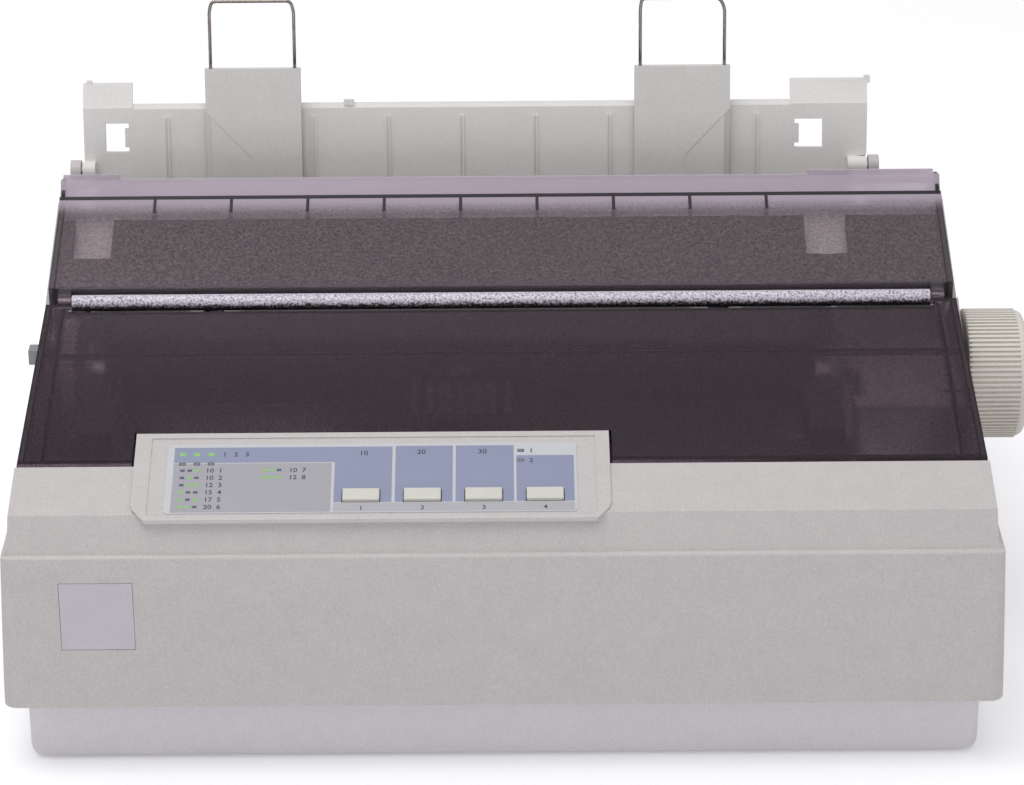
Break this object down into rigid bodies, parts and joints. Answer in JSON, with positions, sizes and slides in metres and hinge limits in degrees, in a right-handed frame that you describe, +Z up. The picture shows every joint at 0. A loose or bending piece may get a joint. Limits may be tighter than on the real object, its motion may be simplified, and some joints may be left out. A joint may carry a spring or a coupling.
{
  "type": "dot matrix printer",
  "caption": "Free-standing dot matrix printer with hinged smoked covers, a sloping key panel, a side platen knob and an upright sheet guide with sliding edge guides.",
  "frame": {"origin": "centre of the footprint, on the surface that the rubber feet stand on", "axes": "+X to the right seen from the front (knob side), +Y towards the rear, +Z up"},
  "size_m": [0.366, 0.275, 0.2141],
  "materials": {
    "case_plastic": "fine moulded texture, light warm grey",
    "button_plastic": "smooth cream moulding",
    "knob_plastic": "ribbed cream moulding",
    "smoked_plastic": "translucent smoke-purple, glossy",
    "foam": "open-cell dark foam",
    "panel_film": "printed film, blue and grey fields",
    "badge_film": "bare pale plate",
    "lamp_lens": "small tinted lamp windows",
    "sheet_steel": "zinc-plated sheet",
    "chrome_wire": "bright chromed wire",
    "steel_rod": "ground steel",
    "rubber_black": "matt black rubber",
    "gear_plastic": "natural acetal",
    "brass": "turned brass",
    "black_plastic": "black moulding",
    "ribbon_fabric": "inked nylon ribbon",
    "circuit_board": "green solder mask",
    "motor_can": "dark lacquered can",
    "head_alloy": "die-cast, dark finned",
    "core_laminate": "varnished laminations",
    "lever_blue": "blue moulding"
  },
  "bodies": {
    "chassis": {"base_tray": "case_plastic", "rubber_feet": "rubber_black", "upper_case": "case_plastic", "case_screws": "steel_rod", "panel_overlay": "panel_film", "panel_board": "circuit_board", "led_lamps": "lamp_lens", "badge_plate": "badge_film", "left_frame": "sheet_steel", "right_frame": "sheet_steel", "cross_rail": "sheet_steel", "front_rail": "sheet_steel", "guide_rod": "steel_rod", "paper_pan": "sheet_steel", "platen_bushes": "gear_plastic", "carriage_motor": "motor_can", "drive_belt": "rubber_black", "feed_motor": "motor_can", "main_board": "circuit_board", "transformer": "core_laminate", "parallel_connector": "black_plastic", "serial_connector": "sheet_steel", "power_inlet": "black_plastic", "ribbon_cartridge": "black_plastic", "ribbon_band": "ribbon_fabric", "tractor_rod": "steel_rod"},
    "platen": {"platen_shaft": "steel_rod", "platen_roller": "rubber_black", "platen_gear": "gear_plastic", "platen_knob": "knob_plastic"},
    "reduction": {"reduction_gear": "gear_plastic"},
    "transfer": {"transfer_gear": "gear_plastic"},
    "pinion": {"feed_pinion": "brass"},
    "tractor_drive": {"tractor_shaft": "steel_rod"},
    "left_tractor_unit": {"left_tractor": "gear_plastic"},
    "right_tractor_unit": {"right_tractor": "gear_plastic"},
    "left_sprocket_wheel": {"left_sprocket": "black_plastic"},
    "right_sprocket_wheel": {"right_sprocket": "black_plastic"},
    "left_lid": {"left_tractor_lid": "gear_plastic"},
    "right_lid": {"right_tractor_lid": "gear_plastic"},
    "carriage": {"carriage_frame": "black_plastic", "print_head": "head_alloy"},
    "motor_pulley_wheel": {"motor_pulley": "brass"},
    "idler_pulley_wheel": {"idler_pulley": "gear_plastic"},
    "ribbon_winder": {"ribbon_knob": "black_plastic"},
    "release_arm": {"release_lever": "lever_blue"},
    "thickness_arm": {"thickness_lever": "lever_blue"},
    "font_key": {"font_button": "button_plastic"},
    "feed_key": {"feed_button": "button_plastic"},
    "load_key": {"load_button": "button_plastic"},
    "pause_key": {"pause_button": "button_plastic"},
    "power_rocker": {"power_switch": "black_plastic"},
    "rear_cover_assembly": {"rear_cover": "smoked_plastic", "acoustic_foam": "foam"},
    "front_cover_assembly": {"front_cover": "smoked_plastic"},
    "guide_assembly": {"sheet_guide": "case_plastic"},
    "left_edge": {"left_edge_guide": "case_plastic"},
    "right_edge": {"right_edge_guide": "case_plastic"},
    "left_support": {"left_wire": "chrome_wire"},
    "right_support": {"right_wire": "chrome_wire"}
  },
  "joints": [
    {"name": "platen_turn", "type": "hinge", "parent": "chassis", "child": "platen", "pos_m": [-0.0085, -0.0225, 0.101], "axis": [1, 0, 0], "continuous": true},
    {"name": "reduction_turn", "type": "hinge", "parent": "chassis", "child": "reduction", "pos_m": [-0.1665, -0.007, 0.07415], "axis": [1, 0, 0], "continuous": true},
    {"name": "pinion_turn", "type": "hinge", "parent": "chassis", "child": "pinion", "pos_m": [-0.1665, -0.007, 0.05615], "axis": [1, 0, 0], "continuous": true},
    {"name": "transfer_turn", "type": "hinge", "parent": "chassis", "child": "transfer", "pos_m": [-0.1665, 0.02376, 0.08297], "axis": [1, 0, 0], "continuous": true},
    {"name": "tractor_shaft_turn", "type": "hinge", "parent": "chassis", "child": "tractor_drive", "pos_m": [-0.1665, 0.0526, 0.09124], "axis": [1, 0, 0], "continuous": true},
    {"name": "left_tractor_slide", "type": "slide", "parent": "chassis", "child": "left_tractor_unit", "axis": [1, 0, 0], "range_m": [-0.02, 0.03]},
    {"name": "right_tractor_slide", "type": "slide", "parent": "chassis", "child": "right_tractor_unit", "axis": [1, 0, 0], "range_m": [-0.03, 0.02]},
    {"name": "left_sprocket_turn", "type": "hinge", "parent": "left_tractor_unit", "child": "left_sprocket_wheel", "pos_m": [-0.1195, 0.0526, 0.09124], "axis": [1, 0, 0], "continuous": true},
    {"name": "right_sprocket_turn", "type": "hinge", "parent": "right_tractor_unit", "child": "right_sprocket_wheel", "pos_m": [0.0755, 0.0526, 0.09124], "axis": [1, 0, 0], "continuous": true},
    {"name": "left_lid_open", "type": "hinge", "parent": "left_tractor_unit", "child": "left_lid", "pos_m": [-0.1269, 0.0656, 0.10344], "axis": [0, -1, 0], "range_deg": [0, 100]},
    {"name": "right_lid_open", "type": "hinge", "parent": "right_tractor_unit", "child": "right_lid", "pos_m": [0.0829, 0.0656, 0.10344], "axis": [0, 1, 0], "range_deg": [0, 100]},
    {"name": "carriage_travel", "type": "slide", "parent": "chassis", "child": "carriage", "axis": [1, 0, 0], "range_m": [-0.1, 0.1]},
    {"name": "motor_pulley_turn", "type": "hinge", "parent": "chassis", "child": "motor_pulley_wheel", "pos_m": [-0.1405, -0.0795, 0.07], "axis": [0, 0, 1], "continuous": true},
    {"name": "idler_pulley_turn", "type": "hinge", "parent": "chassis", "child": "idler_pulley_wheel", "pos_m": [0.0995, -0.0795, 0.07], "axis": [0, 0, 1], "continuous": true},
    {"name": "ribbon_winding", "type": "hinge", "parent": "chassis", "child": "ribbon_winder", "pos_m": [-0.1285, -0.0845, 0.098], "axis": [0, 0, 1], "continuous": true},
    {"name": "paper_release", "type": "hinge", "parent": "chassis", "child": "release_arm", "pos_m": [-0.172, -0.0235, 0.05], "axis": [-1, 0, 0], "range_deg": [0, 14]},
    {"name": "paper_thickness", "type": "hinge", "parent": "chassis", "child": "thickness_arm", "pos_m": [0.1205, -0.0455, 0.078], "axis": [1, 0, 0], "range_deg": [-18, 18]},
    {"name": "font_press", "type": "slide", "parent": "chassis", "child": "font_key", "axis": [0, 0.335, -0.9422], "range_m": [0, 0.0008], "stiffness_N_per_m": 400, "springref_m": -0.0002},
    {"name": "feed_press", "type": "slide", "parent": "chassis", "child": "feed_key", "axis": [0, 0.335, -0.9422], "range_m": [0, 0.0008], "stiffness_N_per_m": 400, "springref_m": -0.0002},
    {"name": "load_press", "type": "slide", "parent": "chassis", "child": "load_key", "axis": [0, 0.335, -0.9422], "range_m": [0, 0.0008], "stiffness_N_per_m": 400, "springref_m": -0.0002},
    {"name": "pause_press", "type": "slide", "parent": "chassis", "child": "pause_key", "axis": [0, 0.335, -0.9422], "range_m": [0, 0.0008], "stiffness_N_per_m": 400, "springref_m": -0.0002},
    {"name": "power_rock", "type": "hinge", "parent": "chassis", "child": "power_rocker", "pos_m": [-0.17735, -0.0915, 0.052], "axis": [0, 0, -1], "range_deg": [0, 12]},
    {"name": "rear_cover_lift", "type": "slide", "parent": "chassis", "child": "rear_cover_assembly", "axis": [0, 0, 1], "range_m": [0, 0.06]},
    {"name": "front_cover_open", "type": "hinge", "parent": "rear_cover_assembly", "child": "front_cover_assembly", "pos_m": [-0.0085, -0.0165, 0.12903], "axis": [-1, 0, 0], "range_deg": [0, 100]},
    {"name": "guide_tilt", "type": "hinge", "parent": "chassis", "child": "guide_assembly", "pos_m": [-0.0085, 0.0675, 0.149], "axis": [-1, 0, 0], "range_deg": [0, 60]},
    {"name": "left_edge_slide", "type": "slide", "parent": "guide_assembly", "child": "left_edge", "axis": [1, 0, 0], "range_m": [-0.025, 0.015]},
    {"name": "right_edge_slide", "type": "slide", "parent": "guide_assembly", "child": "right_edge", "axis": [1, 0, 0], "range_m": [-0.03, 0.02]},
    {"name": "left_wire_slide", "type": "slide", "parent": "left_edge", "child": "left_support", "axis": [0, 0.1736, 0.9848], "range_m": [-0.02, 0]},
    {"name": "right_wire_slide", "type": "slide", "parent": "right_edge", "child": "right_support", "axis": [0, 0.1736, 0.9848], "range_m": [-0.02, 0]}
  ],
  "couplings": [
    {"joint": "reduction_turn", "follows": "platen_turn", "ratio": -1.5833},
    {"joint": "pinion_turn", "follows": "platen_turn", "ratio": 3.1667},
    {"joint": "transfer_turn", "follows": "platen_turn", "ratio": 0.95},
    {"joint": "tractor_shaft_turn", "follows": "platen_turn", "ratio": -1.9},
    {"joint": "left_sprocket_turn", "follows": "platen_turn", "ratio": -1.9},
    {"joint": "right_sprocket_turn", "follows": "platen_turn", "ratio": -1.9},
    {"joint": "motor_pulley_turn", "follows": "carriage_travel", "rad_per_m": -153.85},
    {"joint": "idler_pulley_turn", "follows": "carriage_travel", "rad_per_m": -153.85}
  ]
}
